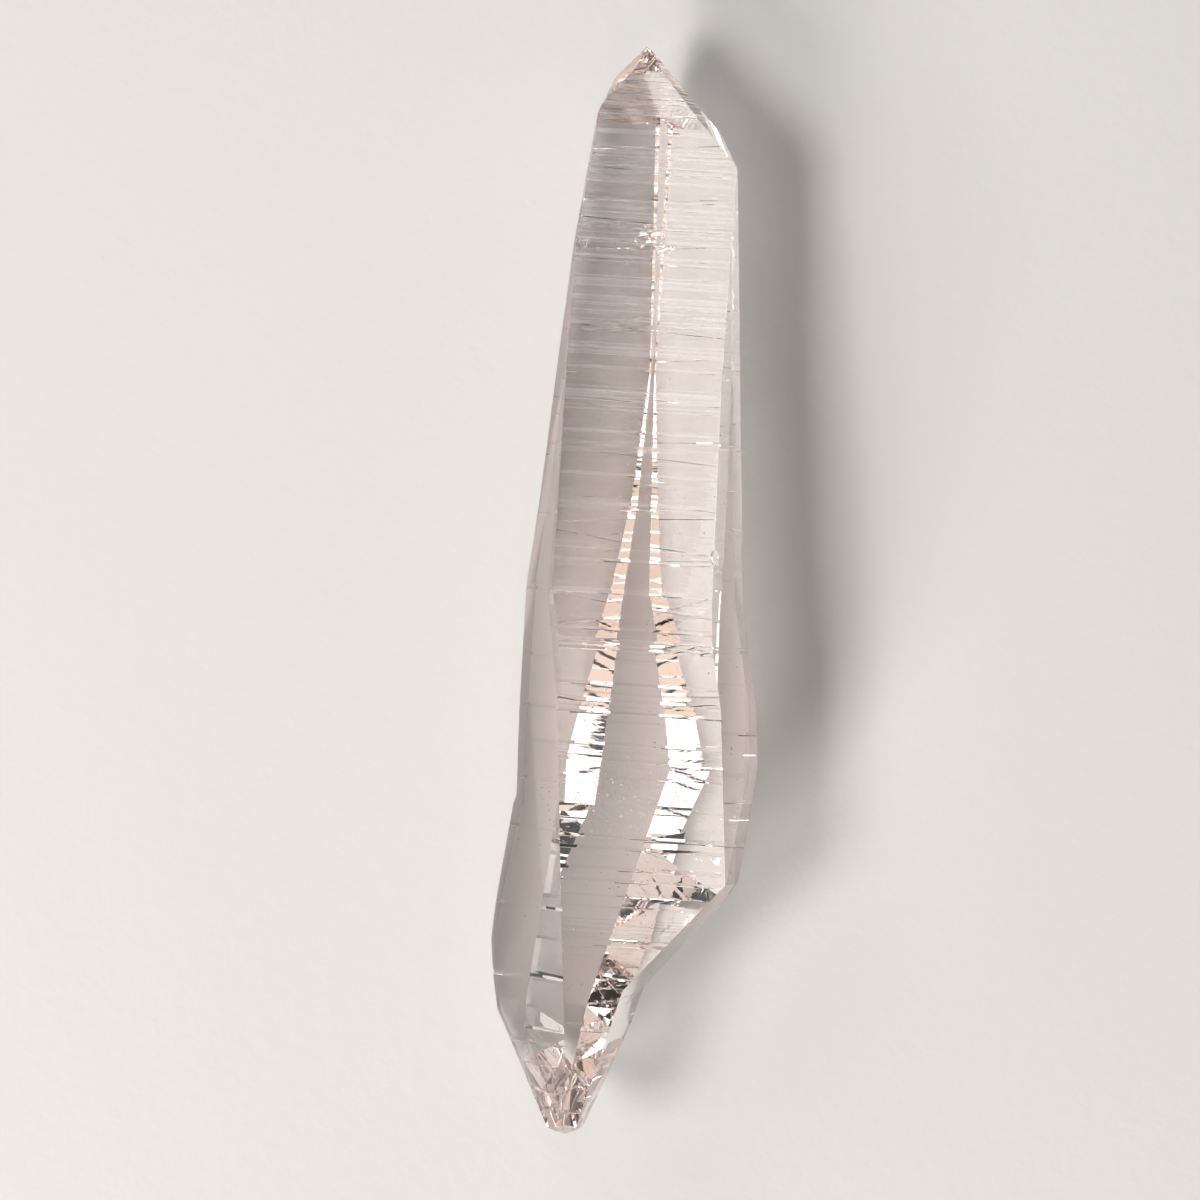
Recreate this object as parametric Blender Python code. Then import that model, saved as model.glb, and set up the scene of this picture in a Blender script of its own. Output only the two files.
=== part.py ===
"""A lemurian quartz point, lying on the narrow back face of its prism with the broad face up.

The crystal is one piece. Six prism faces stand 60 degrees apart around the c axis, which runs along +Y
to the point. Each face has its own profile: how far it reaches from the axis at each place along it.
Growth ledges cross the faces like the rungs of a ladder. Flat end faces close the point and the tip,
a wedge is cut where the main crystal ends beside its tip, and shell-shaped chips mark the edges.
"""

import math
import random

import bmesh
import bpy
from mathutils import Vector

MM = 0.001

# Sizes are in millimetres. Azimuths are in degrees round the c axis, 0 facing up and 90 towards +X.
AXIS_HEIGHT = 10.0  # of the c axis over the resting face
LOFT_TOP = 54.0
LOFT_END = -54.0
SIXTH_TURN = 60
LEAST_FACE = 0.2  # width that a dwindling prism face keeps

# Reach of each prism face from the c axis, as (place along the axis, reach) from the point down.
PROFILES = {
    0: ((54.0, 1.9), (-5.0, 11.6), (-54.0, 7.3)),
    60: ((40.0, 8.05), (20.0, 9.45), (-1.0, 11.4), (-11.0, 12.72), (-30.0, 13.3), (-54.0, 13.1)),
    120: ((54.0, 3.4), (20.0, 5.15), (-1.0, 5.8), (-11.5, 7.78), (-16.6, 8.43), (-54.0, -0.9)),
    180: ((54.0, 6.6), (20.0, 10.0), (-40.0, 10.0), (-54.0, 7.0)),
    240: (
        (54.0, 4.1), (24.0, 4.98), (8.0, 5.57), (-1.6, 6.35), (-20.4, 7.71), (-21.0, 8.21),
        (-30.6, 11.35), (-34.5, 12.28), (-37.8, 12.06), (-42.0, 11.2),
    ),
    300: ((54.0, 5.9), (33.0, 9.65), (22.0, 10.78), (0.0, 12.64), (-12.0, 11.76), (-54.0, 6.95)),
}

# Ledges of the broad face, as (place along the axis, step), the strongest where the crystal bends.
FRONT_LEDGES = (
    (48.9, 0.05), (47.2, 0.04), (43.7, 0.05), (41.7, 0.05), (38.9, 0.04), (36.4, 0.05), (33.2, 0.05),
    (31.6, 0.04), (29.3, 0.06), (28.8, 0.04), (27.6, 0.04), (22.8, 0.07), (22.4, 0.05), (20.9, 0.06),
    (18.4, 0.04), (14.8, 0.06), (10.7, 0.05), (7.9, 0.05), (7.4, 0.07), (2.5, 0.07), (-0.5, 0.04),
    (-4.0, 0.06), (-5.05, 0.07), (-5.45, 0.07), (-5.9, 0.09), (-9.2, 0.05), (-10.8, 0.05), (-11.95, 0.09),
    (-14.9, 0.06), (-16.4, 0.04), (-23.7, 0.06), (-24.8, 0.05), (-26.8, 0.06), (-27.9, 0.05),
    (-34.0, 0.06), (-47.8, 0.05), (-50.2, 0.05),
)
RISER_SLOPE = 0.787  # tangent of 38.2 degrees, since a ledge's riser lies like a rhombohedral end face
LEDGE_LENGTH = 0.35  # a ledge's step has died out this far above it
LEAST_SECTION_GAP = 0.03

# The face it rests on is plain, and the others carry fewer ledges, at places of their own.
RESTING_FACE = 180
SIDE_LEDGE_GAP = (3.5, 8.0)
SIDE_LEDGE_STEP = (0.03, 0.07)
SIDE_LEDGE_SEED = 11

# End faces, as (azimuth, tilt towards +Y, place where the face crosses the c axis).
POINT_FACES = (
    (0, 38.2, 53.2),
    (60, 39.5, 50.6),
    (120, 38.2, 49.4),
    (240, 38.2, 54.9),
    (300, 38.2, 55.5),
    (270, 22.0, 62.4),
)
TIP_FACES = (
    (240, -38.2, -55.7),
    (100, -27.0, -45.6),
    (205, -58.0, -51.8),
    (330, -72.0, -54.1),
    (90, -57.0, -49.9),
    (262, -62.0, -55.1),
)
# The main crystal's own end, cut back beside the tip, and the tip's flank that stays.
NOTCH_FACES = (
    (60, -38.2, -44.3),
    (90, -39.8, -40.9),
)
TIP_FLANK = (78, -16.0, -46.4)

# Shell-shaped chips, as (x, y, height over the c axis, radius, depth to length ratio).
CHIPS = (
    (-9.35, 33.1, 4.2, 1.35, 0.8),
    (-7.9, 41.9, 3.0, 1.2, 0.8),
    (1.9, -46.6, 3.5, 2.4, 1.0),
    (0.3, -50.6, 4.5, 2.2, 0.9),
    (-14.1, -38.0, -3.0, 2.2, 1.0),
    (-12.9, -43.6, -2.0, 2.0, 1.0),
    (-12.9, -33.0, 0.6, 1.1, 0.9),
    (7.2, 33.7, 5.4, 0.75, 0.9),
    (7.0, 3.5, 10.0, 0.8, 0.8),
)


def reach_of(azimuth, place):
    """Reach of a prism face at a place along the axis, straight between its profile's points."""
    profile = PROFILES[azimuth]
    if place >= profile[0][0]:
        return profile[0][1]
    for (upper, high), (lower, low) in zip(profile, profile[1:]):
        if place >= lower:
            return low + (high - low) * (place - lower) / (upper - lower)
    return profile[-1][1]


def side_ledges(azimuth):
    """Ledges of a flank or back face, as (place, step)."""
    draw = random.Random(SIDE_LEDGE_SEED + azimuth)
    ledges = []
    place = LOFT_TOP
    while place > LOFT_END:
        place -= draw.uniform(*SIDE_LEDGE_GAP)
        ledges.append((place, draw.uniform(*SIDE_LEDGE_STEP)))
    return ledges


def ledge_depth(ledges, place):
    """How far a face stands back at a place: a full step past a ledge's riser, dying out towards the point."""
    depth = 0.0
    for ledge, step in ledges:
        above = place - ledge
        riser = step / RISER_SLOPE
        if 0 < above <= riser:
            depth = max(depth, above * RISER_SLOPE)
        elif riser < above < LEDGE_LENGTH:
            depth = max(depth, step * (LEDGE_LENGTH - above) / (LEDGE_LENGTH - riser))
    return depth


def section(place, ledges):
    """The six corners of the prism at a place along the axis."""
    azimuths = sorted(PROFILES)
    reaches = [reach_of(a, place) - ledge_depth(ledges[a], place) for a in azimuths]
    least = LEAST_FACE * math.cos(math.radians(SIXTH_TURN / 2))
    for i in range(1, len(azimuths), 2):
        others = reaches[i - 1] + reaches[(i + 1) % len(azimuths)]
        reaches[i] = min(reaches[i], others - least)
    corners = []
    cosine = math.cos(math.radians(SIXTH_TURN))
    for i, azimuth in enumerate(azimuths):
        here, beyond = reaches[i], reaches[(i + 1) % len(azimuths)]
        first = math.radians(azimuth)
        second = first + math.radians(SIXTH_TURN)
        along_first = (here - beyond * cosine) / (1 - cosine**2)
        along_second = (beyond - here * cosine) / (1 - cosine**2)
        x = along_first * math.sin(first) + along_second * math.sin(second)
        z = along_first * math.cos(first) + along_second * math.cos(second)
        corners.append(Vector((x, place, AXIS_HEIGHT + z)) * MM)
    return corners


def stations(ledges):
    """Places along the axis where the loft has a section: the ends, each profile's bends and each ledge."""
    places = {LOFT_TOP, LOFT_END}
    for azimuth, profile in PROFILES.items():
        places.update(place for place, _ in profile)
        for ledge, step in ledges[azimuth]:
            places.update((ledge, ledge + step / RISER_SLOPE, ledge + LEDGE_LENGTH))
    inside = sorted(p for p in places if LOFT_END <= p <= LOFT_TOP)
    kept = [inside[0]]
    for place in inside[1:]:
        if place - kept[-1] > LEAST_SECTION_GAP:
            kept.append(place)
    return kept


def prism_loft():
    """The stepped prism as a mesh, a loft through its six-cornered sections with both ends closed."""
    ledges = {azimuth: side_ledges(azimuth) for azimuth in PROFILES}
    ledges[0] = FRONT_LEDGES
    ledges[RESTING_FACE] = ()
    bm = bmesh.new()
    rings = [[bm.verts.new(c) for c in section(p, ledges)] for p in stations(ledges)]
    for lower, upper in zip(rings, rings[1:]):
        for i in range(len(lower)):
            j = (i + 1) % len(lower)
            bm.faces.new((lower[i], lower[j], upper[j], upper[i]))
    bm.faces.new(rings[0])
    bm.faces.new(rings[-1])
    bmesh.ops.recalc_face_normals(bm, faces=bm.faces)
    return bm


def face_plane(azimuth, tilt, crossing):
    """A point and the outward normal of an end face."""
    a, t = math.radians(azimuth), math.radians(tilt)
    normal = Vector((math.cos(t) * math.sin(a), math.sin(t), math.cos(t) * math.cos(a)))
    return Vector((0, crossing, AXIS_HEIGHT)) * MM, normal


def cleave(bm, point, normal):
    """Cuts away what lies beyond a plane and closes the cut with a flat face."""
    geometry = bm.verts[:] + bm.edges[:] + bm.faces[:]
    cut = bmesh.ops.bisect_plane(bm, geom=geometry, plane_co=point, plane_no=normal, clear_outer=True)
    edges = [e for e in cut["geom_cut"] if isinstance(e, bmesh.types.BMEdge)]
    bmesh.ops.holes_fill(bm, edges=edges, sides=0)


def helpers_collection():
    collection = bpy.data.collections.new("cutters")
    bpy.context.scene.collection.children.link(collection)
    return collection


def cutter(name, bm, collection):
    """A hidden object that a Boolean takes from the crystal."""
    bmesh.ops.recalc_face_normals(bm, faces=bm.faces)
    mesh = bpy.data.meshes.new(name)
    bm.to_mesh(mesh)
    bm.free()
    helper = bpy.data.objects.new(name, mesh)
    helper.hide_render = True
    helper.display_type = "WIRE"
    collection.objects.link(helper)
    return helper


def notch_wedge(end_face):
    """The space past one of the main crystal's end faces and outside the flank of the tip."""
    bm = bmesh.new()
    bmesh.ops.create_cube(bm, size=60 * MM)
    bmesh.ops.translate(bm, verts=bm.verts, vec=Vector((20, -40, AXIS_HEIGHT)) * MM)
    for face in (end_face, TIP_FLANK):
        point, normal = face_plane(*face)
        cleave(bm, point, -normal)
    return bm


def chip_shell(x, y, rise, radius, flatness):
    """A ball, flattened along the axis, whose skin is the hollow that a chip leaves."""
    bm = bmesh.new()
    bmesh.ops.create_icosphere(bm, subdivisions=3, radius=radius * MM)
    bmesh.ops.scale(bm, verts=bm.verts, vec=Vector((flatness, 1, flatness)))
    bmesh.ops.translate(bm, verts=bm.verts, vec=Vector((x, y, AXIS_HEIGHT + rise)) * MM)
    return bm


def quartz_material():
    """Clear colourless quartz with a faint blush."""
    material = bpy.data.materials.new("quartz")
    material.use_nodes = True
    shader = material.node_tree.nodes["Principled BSDF"]
    shader.inputs["Base Color"].default_value = (0.93, 0.85, 0.82, 1)
    shader.inputs["Roughness"].default_value = 0.05
    shader.inputs["Metallic"].default_value = 0
    shader.inputs["IOR"].default_value = 1.544
    shader.inputs["Transmission Weight"].default_value = 1
    return material


def quartz_point(collection, helpers):
    """The crystal: the stepped prism, closed by its end faces, less the notch and the chips."""
    bm = prism_loft()
    for face in POINT_FACES + TIP_FACES:
        cleave(bm, *face_plane(*face))
    bmesh.ops.recalc_face_normals(bm, faces=bm.faces)
    mesh = bpy.data.meshes.new("quartz_point")
    bm.to_mesh(mesh)
    bm.free()
    mesh.materials.append(quartz_material())
    crystal = bpy.data.objects.new("quartz_point", mesh)
    collection.objects.link(crystal)
    cutters = [cutter(f"notch_{i}", notch_wedge(f), helpers) for i, f in enumerate(NOTCH_FACES)]
    cutters += [cutter(f"chip_{i}", chip_shell(*c), helpers) for i, c in enumerate(CHIPS)]
    for helper in cutters:
        boolean = crystal.modifiers.new(helper.name, "BOOLEAN")
        boolean.operation = "DIFFERENCE"
        boolean.object = helper
    return crystal


def main():
    for old in list(bpy.data.objects):
        bpy.data.objects.remove(old)
    collection = bpy.data.collections.new("lemurian_quartz_point")
    bpy.context.scene.collection.children.link(collection)
    quartz_point(collection, helpers_collection())


main()
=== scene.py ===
"""A lemurian quartz point lying on a pale floor under soft studio light, seen from above.

The crystal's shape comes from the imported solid. Here it gets the hair-fine growth lines between the
modelled ledges, the flaws inside it, the finish of its faces, the floor, the lights and the camera.
"""

import math
import random

import bmesh
import bpy
import numpy as np
from mathutils import Euler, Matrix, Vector, noise
from mathutils.bvhtree import BVHTree


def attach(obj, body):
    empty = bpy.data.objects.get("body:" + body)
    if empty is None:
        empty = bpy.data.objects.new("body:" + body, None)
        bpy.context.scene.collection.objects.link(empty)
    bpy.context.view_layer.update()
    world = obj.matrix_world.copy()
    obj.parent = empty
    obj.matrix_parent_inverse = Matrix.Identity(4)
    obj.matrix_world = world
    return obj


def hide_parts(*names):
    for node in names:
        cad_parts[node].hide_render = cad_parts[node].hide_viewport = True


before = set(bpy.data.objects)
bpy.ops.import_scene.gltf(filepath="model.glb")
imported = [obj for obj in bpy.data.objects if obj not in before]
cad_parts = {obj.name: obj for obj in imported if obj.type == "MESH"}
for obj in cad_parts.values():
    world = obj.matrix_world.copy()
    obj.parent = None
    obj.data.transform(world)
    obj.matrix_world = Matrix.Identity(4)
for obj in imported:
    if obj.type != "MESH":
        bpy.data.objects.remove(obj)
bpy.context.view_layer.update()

MM = 0.001

# How the photograph frames the crystal: 1200 pixels across, turned a little clockwise.
PHOTO_WIDTH = 1200
PIXELS_PER_MM = 10.381
ROLL = 3.4  # degrees
AIM = (-3.79, -1.14, 12.0)  # mm, the middle of the frame
CAMERA_DISTANCE = 560.0  # mm, far enough off for the lens to be a macro tele
CAMERA_REACH = (0.01, 10)  # metres, the nearest and the farthest that the camera sees
SENSOR = 36.0

SAME_PLACE = 1e-6  # metres, within which two points are one
CUT_NEAR = 1e-7  # metres, within which a cut runs through a corner that is there
SAME_WAY = 0.99999  # cosine between the normals of two faces in one plane
FLAT_ANGLE = 0.15  # degrees between the triangles of one flat face

PRISM_AZIMUTHS = (0, 60, 120, 180, 240, 300)
PRISM_LEAN = 13.0  # degrees that a prism face may lean and still be one

# Growth lines of each prism face: how many to 10 mm where they crowd and where they are sparse, the
# least and the greatest step of one in mm, and the place along the axis in mm below which few are left.
GROWTH_LINES = {
    0: (30, 8, (0.004, 0.014), 9.0),
    60: (16, 5, (0.004, 0.014), 9.0),
    120: (14, 4, (0.003, 0.010), 20.0),
    180: (6, 2, (0.003, 0.008), 20.0),
    240: (40, 14, (0.005, 0.016), 20.0),
    300: (18, 6, (0.004, 0.014), 9.0),
}
COUNT_LENGTH = 10  # mm that the lines are counted over
GAP_SPREAD = (0.35, 1.65)  # times the even gap between two lines
CALM_GAPS = 9.0  # times as far apart where few are left
LEAST_GAP = 0.01  # mm between one line's end and the next line
CROWD_LENGTH = (1.5, 5.0)  # mm of crowded or sparse lines before the spacing changes
RISER_SLOPE = 0.4  # of a line's steep side, rounded by growth
TAIL_LENGTH = (0.06, 0.16)  # mm over which a line's step dies out
BOLD_SHARE = 0.12  # of lines stand out
BOLD_GAIN = (1.8, 3.0)
LINES_SEED = 431
WEAKEST_PUSH = 0.15  # of the strongest, below which faces that are nearly in one plane go in as one

SMOOTH_ANGLES = (1.0, 32.0)  # degrees between neighbouring facets of one shell-shaped chip

# Cracks inside, as (middle in mm, half length and half breadth in mm, degrees turned about the three axes).
CRACKS = (
    ((-1.1, 33.9, 11.6), (1.6, 0.9), (3.5, -9.4, 20)),
    ((-0.5, 33.6, 10.9), (1.4, 0.6), (9.4, -3.3, -30)),
    ((-1.5, 34.3, 12.2), (0.8, 0.4), (-3.3, -9.4, 60)),
    ((0.4, 32.8, 10.2), (1.2, 0.5), (4.3, -9.0, 15)),
    ((-7.2, 32.9, 14.0), (0.7, 0.25), (-4.9, -8.7, 70)),
    ((-6.3, 41.8, 12.9), (0.45, 0.2), (0.1, -10.0, 40)),
    ((4.9, -31.3, 11.0), (0.9, 0.25), (60, 10, 70)),
    ((4.2, -32.4, 9.5), (1.1, 0.3), (50, -20, 60)),
)
CRACK_GAP = 0.012  # mm between a crack's two walls
CRACK_RIPPLE = 0.04  # mm
RIPPLE_SCALE = 1.6  # ripples to a crack's half size
RIM_RAGGED = 0.5  # of a crack's size that its rim may run in or out
RIM_SCALE = 2.5
NOISE_REACH = 50  # over which the noise is sampled, so that no two cracks are alike
CRACK_SEED = 57

# Specks inside: how many, and the box that they lie in as (x, y, z) ranges in mm.
SPECK_CLOUDS = (
    (90, (-5.5, 4.5), (-24.0, -17.5), (8.0, 18.0)),
    (80, (2.0, 7.0), (-36.0, -17.0), (8.0, 17.0)),
    (50, (-8.0, 6.0), (-40.0, -24.0), (6.0, 16.0)),
    (60, (-5.0, 7.0), (-16.0, 12.0), (6.0, 18.0)),
    (20, (-4.0, 5.0), (14.0, 44.0), (6.0, 12.0)),
)
SPECK_RADIUS = (0.035, 0.11)  # mm
SPECK_COVER = 0.2  # mm of quartz at least between a speck and the skin
SPECK_SEED = 83

QUARTZ_IOR = 1.544
BLUSH = "#F6CDB8"
BLUSH_DENSITY = 6.5  # per metre

# Hair lines etched across the broad face. The real ones are finer. These are as coarse as they need to be
# to show.
HAIRS_PER_MM = 2.6
HAIR_RUN = 0.03  # of the pattern's pace along the axis, so that a line runs right across the face
HAIR_DEPTH = 0.0015  # mm
ETCHED = (0.56, 0.66)  # of the hair pattern, from clear to fully etched
ETCHED_ROUGHNESS = 0.42
HAIR_CROWDS_PER_MM = 0.19
CROWDED = (0.44, 0.56)  # of the crowd pattern, from sparse to crowded
SPARSE_SHARE = 0.2  # of the etching is left between the crowds
ETCHED_ALONG = (0.0, 20.0)  # mm along the axis, between which the etching grows to full
LOWER_SHARE = 0.35  # of the etching is left on the lower half

# Growth pits, which haze the faces here and there.
PITS_PER_MM = 0.9
HAZED = (0.5, 0.8)  # of the pit pattern, from clear to fully hazed
HAZE_ROUGHNESS = 0.04

FLOOR_HALF = 2.0  # metres
FLOOR_BELOW = 0.04  # mm under the crystal's resting face, so that the two don't fight
TOOTH_PER_MM = 0.7
TOOTH_DEPTH = 0.3  # mm

BOX_DISTANCE = 1.2  # metres from the crystal to each soft box
AXIS_HEIGHT = 10.0  # mm, of the c axis over the floor, where the soft boxes aim

# Soft boxes: name, azimuth and height in degrees, width and height in metres, brightness and colour.
# Azimuth 0 is towards +X, the right of the picture, and 90 towards +Y, its top. The two keys light the
# growth lines, the cracks and the floor. The others are dim. The crystal shows them in its bright bands,
# its white patches and its edges.
SOFT_BOXES = (
    ("key_left_high", 200, 58, (0.34, 0.34), 18.5, "#FFFEFC"),
    ("key_beside_tip", 240, 33, (0.34, 0.5), 17.5, "#FFFDFA"),
    ("box_left_low", 180, 20, (0.34, 0.34), 2.0, "#FFFFFF"),
    ("box_left_behind", 150, 45, (0.34, 0.34), 2.0, "#FFFFFF"),
    ("box_over_point_right", 80, 68.5, (0.09, 0.2), 1.7, "#FFFFFF"),
    ("box_over_point_left", 100, 68.5, (0.09, 0.2), 1.7, "#FFFFFF"),
    ("strip_overhead", 90, 88.7, (0.12, 0.68), 1.6, "#FFFFFF"),
    ("box_over_tip", 270, 63, (0.46, 0.52), 0.92, "#FFECDC"),
    ("panel_low_beside_tip", 275, 28, (0.6, 0.5), 0.4, "#FFFFFF"),
    ("strip_behind_point", 90, 30, (0.06, 0.5), 3.0, "#FFFFFF"),
    ("box_low_behind_left", 117, 28, (0.3, 0.66), 2.2, "#FFFFFF"),
    ("box_low_behind_right", 48, 18, (0.6, 0.3), 1.8, "#FFFFFF"),
)

# The room's glow, as (upward part of the look, brightness), low on the walls and high up.
GLOW_LOW = (0.05, 0.35)
GLOW_HIGH = (0.5, 0.02)

BOUNCES = 16
CRYSTAL_BOUNCES = 10  # of light inside the crystal
FLOOR_BOUNCES = 2


def linear(hex_colour):
    """A linear RGBA colour from an sRGB hex value."""
    channels = [int(hex_colour[i : i + 2], 16) / 255 for i in (1, 3, 5)]
    return [c / 12.92 if c <= 0.04045 else ((c + 0.055) / 1.055) ** 2.4 for c in channels] + [1.0]


def add(tree, kind, inputs=None, **settings):
    """A node of a kind, with its settings and with each input linked to a socket or set to a value."""
    made = tree.nodes.new(kind)
    for name, value in settings.items():
        setattr(made, name, value)
    for name, value in (inputs or {}).items():
        socket = made.inputs[name]
        if isinstance(value, bpy.types.NodeSocket):
            tree.links.new(value, socket)
        else:
            socket.default_value = value
    return made


def new_material(name):
    """A material with nothing in it, and its node tree."""
    material = bpy.data.materials.new(name)
    material.use_nodes = True
    material.node_tree.nodes.clear()
    return material, material.node_tree


def azimuth_normal(azimuth):
    """The outward normal of an upright prism face."""
    a = math.radians(azimuth)
    return Vector((math.sin(a), 0, math.cos(a)))


def prism_azimuth(face):
    """The azimuth of the prism face that a mesh face belongs to, or None for an end face or a chip."""
    for azimuth in PRISM_AZIMUTHS:
        if face.normal.angle(azimuth_normal(azimuth)) < math.radians(PRISM_LEAN):
            return azimuth
    return None


def line_places(azimuth, low, high, draw):
    """Where a face's growth lines lie along the axis in mm, crowded and sparse by turns."""
    crowded, sparse, _, calm_below = GROWTH_LINES[azimuth]
    places = []
    place = low
    change = low
    density = crowded
    while place < high:
        if place > change:
            change = place + draw.uniform(*CROWD_LENGTH)
            density = sparse if density == crowded else crowded
        gap = COUNT_LENGTH / density * draw.uniform(*GAP_SPREAD)
        place += gap * CALM_GAPS if place < calm_below else gap
        places.append(place)
    return places


def growth_profile(azimuth, low, high):
    """Depth of a face's growth lines along the axis: a list of (place, depth) in mm, from low to high."""
    steps = GROWTH_LINES[azimuth][2]
    draw = random.Random(LINES_SEED + azimuth)
    profile = [(low, 0.0)]
    for place in line_places(azimuth, low, high, draw):
        step = draw.uniform(*steps)
        if draw.random() < BOLD_SHARE:
            step *= draw.uniform(*BOLD_GAIN)
        riser = step / RISER_SLOPE
        if place > profile[-1][0] + LEAST_GAP:
            tail = draw.uniform(*TAIL_LENGTH)
            profile += [(place, 0.0), (place + riser, step), (place + riser + tail, 0.0)]
    return profile


def cut_across(bm, faces, y):
    """Cuts faces at a place along the axis and gives back the new ones."""
    parts = set(faces)
    for f in faces:
        parts.update(f.edges)
        parts.update(f.verts)
    cut = bmesh.ops.bisect_plane(
        bm, geom=list(parts), dist=CUT_NEAR, plane_co=Vector((0, y, 0)), plane_no=Vector((0, 1, 0))
    )
    return {g for g in cut["geom"] if isinstance(g, bmesh.types.BMFace)}


def cut_growth_lines(bm, profiles):
    """Splits each prism face where its own growth profile bends."""
    layer = bm.faces.layers.int["azimuth"]
    for azimuth, profile in profiles.items():
        ahead = [f for f in bm.faces if f[layer] == azimuth]
        for place, _ in profile:
            y = place * MM
            ahead = [f for f in ahead if max(v.co.y for v in f.verts) > y + SAME_PLACE]
            crossing = [f for f in ahead if min(v.co.y for v in f.verts) < y - SAME_PLACE]
            if crossing:
                ahead = list(cut_across(bm, crossing, y).union(ahead))


def push_faces_in(bm, profiles):
    """Moves each vertex so that every face beside it goes in by its own growth depth, and no other moves."""
    layer = bm.faces.layers.int["azimuth"]
    moves = {}
    for v in bm.verts:
        rows, depths = [], []
        for f in v.link_faces:
            if any(f.normal.dot(r) > SAME_WAY for r in rows):
                continue
            azimuth = f[layer]
            rows.append(f.normal.copy())
            if azimuth < 0:
                depths.append(0.0)
            else:
                places, values = profiles[azimuth]
                depths.append(-float(np.interp(v.co.y / MM, places, values)) * MM)
        if any(depths):
            matrix = np.array([tuple(r) for r in rows])
            moves[v] = np.linalg.lstsq(matrix, np.array(depths), rcond=WEAKEST_PUSH)[0]
    for v, move in moves.items():
        v.co += Vector(move)


def smooth_chips(bm):
    """Rounds the facets of the shell-shaped chips, which broke in curves, and keeps their rims crisp."""
    least, most = (math.radians(a) for a in SMOOTH_ANGLES)
    layer = bm.faces.layers.int["azimuth"]
    for edge in bm.edges:
        edge.smooth = False
        if len(edge.link_faces) == 2 and all(f[layer] < 0 for f in edge.link_faces):
            if least < edge.calc_face_angle() < most:
                edge.smooth = True
                for f in edge.link_faces:
                    f.smooth = True


def add_crack(bm, middle, halves, turns, draw):
    """A crack: two rippled walls a hair apart, closed at the rim, with the quartz outside them."""
    made = bmesh.ops.create_icosphere(bm, subdivisions=4, radius=1.0)["verts"]
    turn = Euler([math.radians(t) for t in turns]).to_matrix()
    phase = Vector((draw.random(), draw.random(), draw.random())) * NOISE_REACH
    for v in made:
        spot = Vector((v.co.x, v.co.y, 0))
        ripple = noise.noise(spot * RIPPLE_SCALE + phase) * CRACK_RIPPLE
        rim = 1 + RIM_RAGGED * noise.noise(spot * RIM_SCALE + phase)
        flat = Vector((
            v.co.x * halves[0] * rim, v.co.y * halves[1] * rim, v.co.z * CRACK_GAP / 2 + ripple,
        ))
        v.co = (Vector(middle) + turn @ flat) * MM
    faces = {f for v in made for f in v.link_faces}
    bmesh.ops.reverse_faces(bm, faces=list(faces))
    for f in faces:
        f.smooth = True


def add_speck(bm, middle, radius):
    """A speck: a tiny hollow, with the quartz outside it."""
    made = bmesh.ops.create_icosphere(bm, subdivisions=1, radius=radius * MM)["verts"]
    bmesh.ops.translate(bm, verts=made, vec=Vector(middle) * MM)
    faces = {f for v in made for f in v.link_faces}
    bmesh.ops.reverse_faces(bm, faces=list(faces))


def flaws(skin):
    """Cracks and specks inside the crystal. A speck that would come too near the skin is left out."""
    bm = bmesh.new()
    draw = random.Random(CRACK_SEED)
    for middle, halves, turns in CRACKS:
        add_crack(bm, middle, halves, turns, draw)
    draw = random.Random(SPECK_SEED)
    for count, *ranges in SPECK_CLOUDS:
        for _ in range(count):
            middle = Vector([draw.uniform(*r) for r in ranges])
            radius = draw.uniform(*SPECK_RADIUS)
            near, normal, _, distance = skin.find_nearest(middle * MM)
            if (middle * MM - near).dot(normal) < 0 and distance > (radius + SPECK_COVER) * MM:
                add_speck(bm, middle, radius)
    return bm


def whole_faces(source):
    """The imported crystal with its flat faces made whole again, each marked with its azimuth."""
    bm = bmesh.new()
    bm.from_mesh(source.data)
    bm.transform(source.matrix_world)
    bmesh.ops.remove_doubles(bm, verts=bm.verts, dist=SAME_PLACE)
    bmesh.ops.dissolve_limit(bm, angle_limit=math.radians(FLAT_ANGLE), verts=bm.verts, edges=bm.edges)
    layer = bm.faces.layers.int.new("azimuth")
    for f in bm.faces:
        azimuth = prism_azimuth(f)
        f[layer] = -1 if azimuth is None else azimuth
    return bm


def crystal_mesh(source):
    """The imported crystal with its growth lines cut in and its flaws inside."""
    bm = whole_faces(source)
    low = min(v.co.y for v in bm.verts) / MM
    high = max(v.co.y for v in bm.verts) / MM
    profiles = {a: growth_profile(a, low, high) for a in PRISM_AZIMUTHS}
    cut_growth_lines(bm, profiles)
    bm.normal_update()
    push_faces_in(bm, {a: tuple(zip(*p)) for a, p in profiles.items()})
    bmesh.ops.triangulate(bm, faces=bm.faces)
    bm.normal_update()
    smooth_chips(bm)
    inside = flaws(BVHTree.FromBMesh(bm))
    held = bpy.data.meshes.new("flaws")
    inside.to_mesh(held)
    inside.free()
    bm.from_mesh(held)
    return bm


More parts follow.
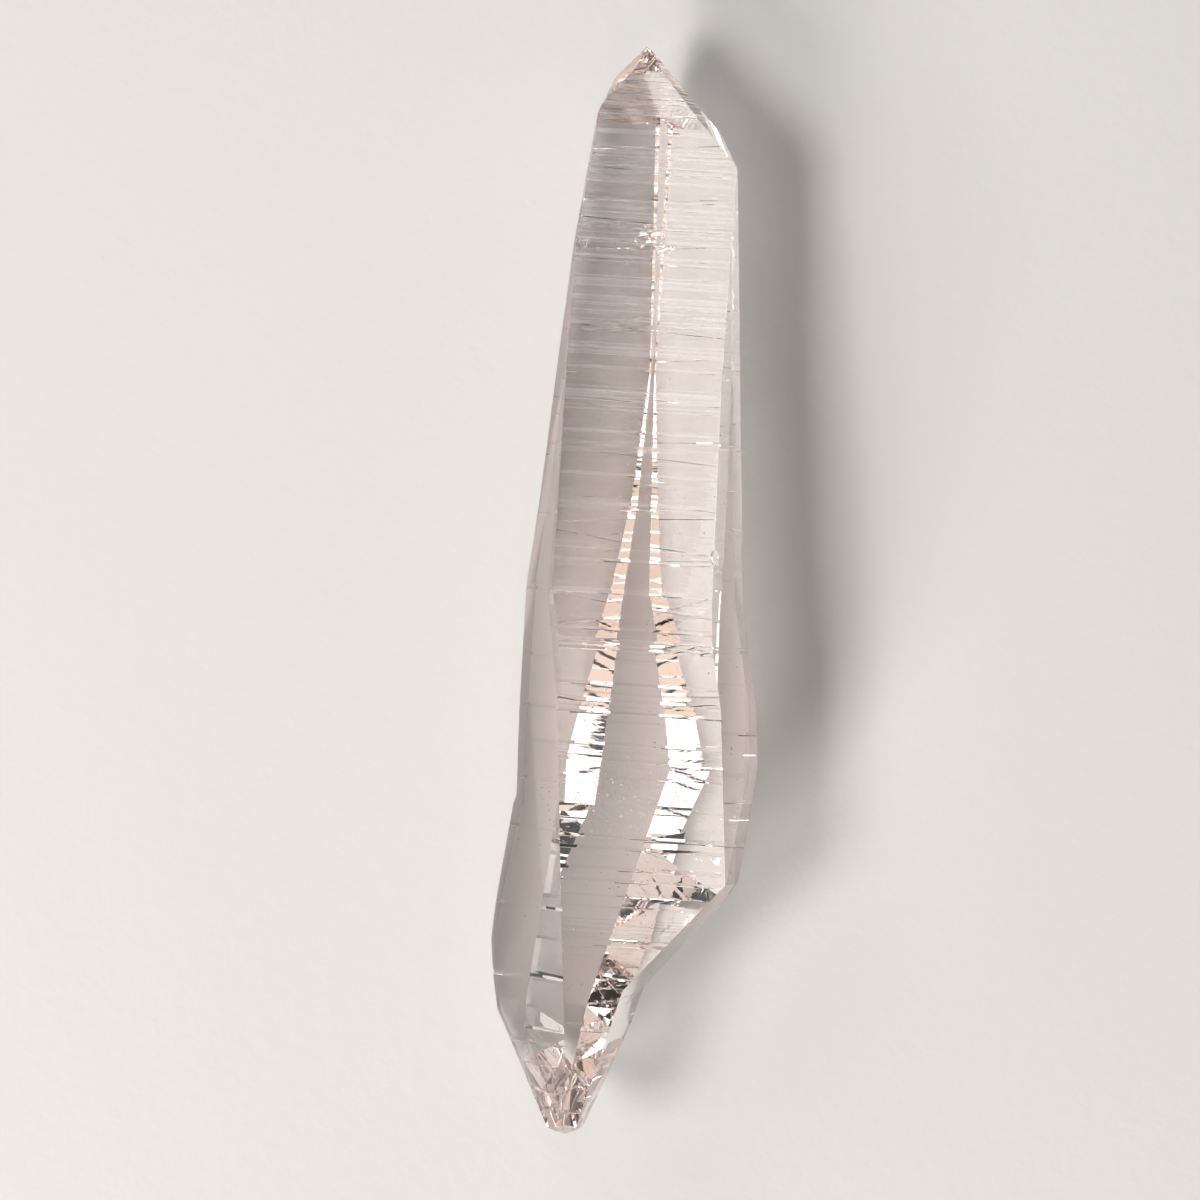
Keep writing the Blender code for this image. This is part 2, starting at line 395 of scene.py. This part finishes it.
def hair_line_roughness(tree, place, across, hairs):
    """Etched hair lines, crowded and sparse by turns, on the broad face and fainter on its lower half."""
    azimuth = add(tree, "ShaderNodeAttribute", attribute_name="azimuth")
    broad_face = add(
        tree, "ShaderNodeMath", {0: azimuth.outputs["Fac"], 1: 0.0, 2: 0.5}, operation="COMPARE",
    )
    along = add(tree, "ShaderNodeSeparateXYZ", {"Vector": place.outputs["Object"]})
    upper = add(
        tree, "ShaderNodeMapRange",
        {
            "Value": along.outputs["Y"],
            "From Min": ETCHED_ALONG[0] * MM, "From Max": ETCHED_ALONG[1] * MM,
            "To Min": LOWER_SHARE, "To Max": 1.0,
        },
    )
    etched = add(
        tree, "ShaderNodeMapRange",
        {
            "Value": hairs.outputs["Fac"],
            "From Min": ETCHED[0], "From Max": ETCHED[1],
            "To Min": 0.0, "To Max": ETCHED_ROUGHNESS,
        },
    )
    crowds = add(
        tree, "ShaderNodeTexNoise",
        {"Vector": across.outputs[0], "Scale": HAIR_CROWDS_PER_MM / MM, "Detail": 1.0},
    )
    crowded = add(
        tree, "ShaderNodeMapRange",
        {
            "Value": crowds.outputs["Fac"],
            "From Min": CROWDED[0], "From Max": CROWDED[1],
            "To Min": SPARSE_SHARE, "To Max": 1.0,
        },
    )
    lines = etched
    for share in (crowded, upper, broad_face):
        lines = add(
            tree, "ShaderNodeMath", {0: lines.outputs[0], 1: share.outputs[0]}, operation="MULTIPLY",
        )
    return lines


def pit_haze(tree, place):
    """A breath of haze from growth pits, patchy over all faces."""
    pits = add(
        tree, "ShaderNodeTexNoise",
        {"Vector": place.outputs["Object"], "Scale": PITS_PER_MM / MM, "Detail": 4.0},
    )
    return add(
        tree, "ShaderNodeMapRange",
        {
            "Value": pits.outputs["Fac"],
            "From Min": HAZED[0], "From Max": HAZED[1],
            "To Min": 0.0, "To Max": HAZE_ROUGHNESS,
        },
    )


def quartz_material():
    """Rock quartz with natural growth faces: clear as window glass, with a faint blush in its depth.

    The growth faces are glossy. Hair lines run across the axis. They bend what is seen through them a
    little and, on the broad face, are etched so that they catch the light.
    """
    material, tree = new_material("clear_quartz_growth_faces")
    place = add(tree, "ShaderNodeTexCoord")
    across = add(
        tree, "ShaderNodeMapping", {"Vector": place.outputs["Object"], "Scale": (HAIR_RUN, 1, HAIR_RUN)},
    )
    hairs = add(
        tree, "ShaderNodeTexNoise",
        {"Vector": across.outputs[0], "Scale": HAIRS_PER_MM / MM, "Detail": 1.0},
    )
    bump = add(
        tree, "ShaderNodeBump",
        {"Height": hairs.outputs["Fac"], "Strength": 1.0, "Distance": HAIR_DEPTH * MM},
    )
    haze = pit_haze(tree, place)
    hair_lines = hair_line_roughness(tree, place, across, hairs)
    roughness = add(
        tree, "ShaderNodeMath", {0: haze.outputs[0], 1: hair_lines.outputs[0]}, operation="MAXIMUM",
    )
    shader = add(
        tree, "ShaderNodeBsdfPrincipled",
        {
            "Base Color": linear("#FFFCFB"),
            "Roughness": roughness.outputs[0],
            "IOR": QUARTZ_IOR,
            "Transmission Weight": 1.0,
            "Normal": bump.outputs[0],
        },
    )
    depth = add(tree, "ShaderNodeVolumeAbsorption", {"Color": linear(BLUSH), "Density": BLUSH_DENSITY})
    add(
        tree, "ShaderNodeOutputMaterial",
        {"Surface": shader.outputs[0], "Volume": depth.outputs[0]},
    )
    return material


def make_crystal(material):
    """The crystal in its place, in the stead of the plain solid."""
    bm = crystal_mesh(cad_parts["quartz_point"])
    mesh = bpy.data.meshes.new("crystal")
    bm.to_mesh(mesh)
    bm.free()
    crystal = bpy.data.objects.new("crystal", mesh)
    bpy.context.scene.collection.objects.link(crystal)
    mesh.materials.append(material)
    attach(crystal, "root")
    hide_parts("quartz_point")


def floor_material():
    """Uncoated pale card: matt, warm white, with a soft tooth.

    The real tooth is finer. This is as coarse as it needs to be to show.
    """
    material, tree = new_material("pale_card")
    place = add(tree, "ShaderNodeTexCoord")
    tooth = add(
        tree, "ShaderNodeTexNoise",
        {"Vector": place.outputs["Object"], "Scale": TOOTH_PER_MM / MM, "Detail": 3.0},
    )
    bump = add(
        tree, "ShaderNodeBump",
        {"Height": tooth.outputs["Fac"], "Strength": 0.15, "Distance": TOOTH_DEPTH * MM},
    )
    shader = add(
        tree, "ShaderNodeBsdfPrincipled",
        {"Base Color": linear("#E6E3E0"), "Roughness": 0.85, "Normal": bump.outputs[0]},
    )
    add(tree, "ShaderNodeOutputMaterial", {"Surface": shader.outputs[0]})
    return material


def make_floor():
    """A card far larger than the picture, just under the crystal."""
    mesh = bpy.data.meshes.new("floor")
    half, level = FLOOR_HALF, -FLOOR_BELOW * MM
    corners = [(-half, -half, level), (half, -half, level), (half, half, level), (-half, half, level)]
    mesh.from_pydata(corners, [], [(0, 1, 2, 3)])
    floor = bpy.data.objects.new("floor", mesh)
    bpy.context.scene.collection.objects.link(floor)
    mesh.materials.append(floor_material())


def soft_box(name, azimuth, height, size, brightness, colour):
    """A soft box aimed at the crystal. Its brightness is that of its front, whatever its size."""
    a, h = math.radians(azimuth), math.radians(height)
    light = bpy.data.lights.new(name, "AREA")
    light.shape = "RECTANGLE"
    light.size, light.size_y = size
    light.energy = brightness * math.pi * size[0] * size[1]
    light.color = linear(colour)[:3]
    lamp = bpy.data.objects.new(name, light)
    aim = Vector((0, 0, AXIS_HEIGHT * MM))
    towards = Vector((math.cos(a) * math.cos(h), math.sin(a) * math.cos(h), math.sin(h)))
    lamp.location = towards * BOX_DISTANCE
    lamp.rotation_euler = (aim - lamp.location).to_track_quat("-Z", "Y").to_euler()
    bpy.context.scene.collection.objects.link(lamp)


def make_room():
    """A dim studio room whose walls are paler low down, where they stand round the table."""
    world = bpy.data.worlds.new("studio")
    bpy.context.scene.world = world
    world.use_nodes = True
    tree = world.node_tree
    tree.nodes.clear()
    towards = add(tree, "ShaderNodeTexCoord")
    upward = add(tree, "ShaderNodeSeparateXYZ", {"Vector": towards.outputs["Generated"]})
    glow = add(
        tree, "ShaderNodeMapRange",
        {
            "Value": upward.outputs["Z"],
            "From Min": GLOW_LOW[0], "From Max": GLOW_HIGH[0],
            "To Min": GLOW_LOW[1], "To Max": GLOW_HIGH[1],
        },
    )
    room = add(tree, "ShaderNodeBackground", {"Color": linear("#F2F3F5"), "Strength": glow.outputs[0]})
    add(tree, "ShaderNodeOutputWorld", {"Surface": room.outputs[0]})


def make_camera():
    """A camera straight above, framed as the photograph is."""
    data = bpy.data.cameras.new("camera")
    data.sensor_width = SENSOR
    data.lens = SENSOR * CAMERA_DISTANCE / (PHOTO_WIDTH / PIXELS_PER_MM)
    camera = bpy.data.objects.new("camera", data)
    camera.location = Vector((AIM[0], AIM[1], AIM[2] + CAMERA_DISTANCE)) * MM
    camera.rotation_euler = (0, 0, math.radians(ROLL))
    data.clip_start, data.clip_end = CAMERA_REACH
    bpy.context.scene.collection.objects.link(camera)
    bpy.context.scene.camera = camera


def light_paths():
    """Lets light bounce often enough inside the crystal for its faces to show, and keeps whites plain."""
    scene = bpy.context.scene
    scene.cycles.max_bounces = BOUNCES
    scene.cycles.diffuse_bounces = FLOOR_BOUNCES
    scene.cycles.glossy_bounces = CRYSTAL_BOUNCES
    scene.cycles.transmission_bounces = CRYSTAL_BOUNCES
    scene.view_settings.view_transform = "Standard"


make_crystal(quartz_material())
make_floor()
for box in SOFT_BOXES:
    soft_box(*box)
make_room()
make_camera()
light_paths()
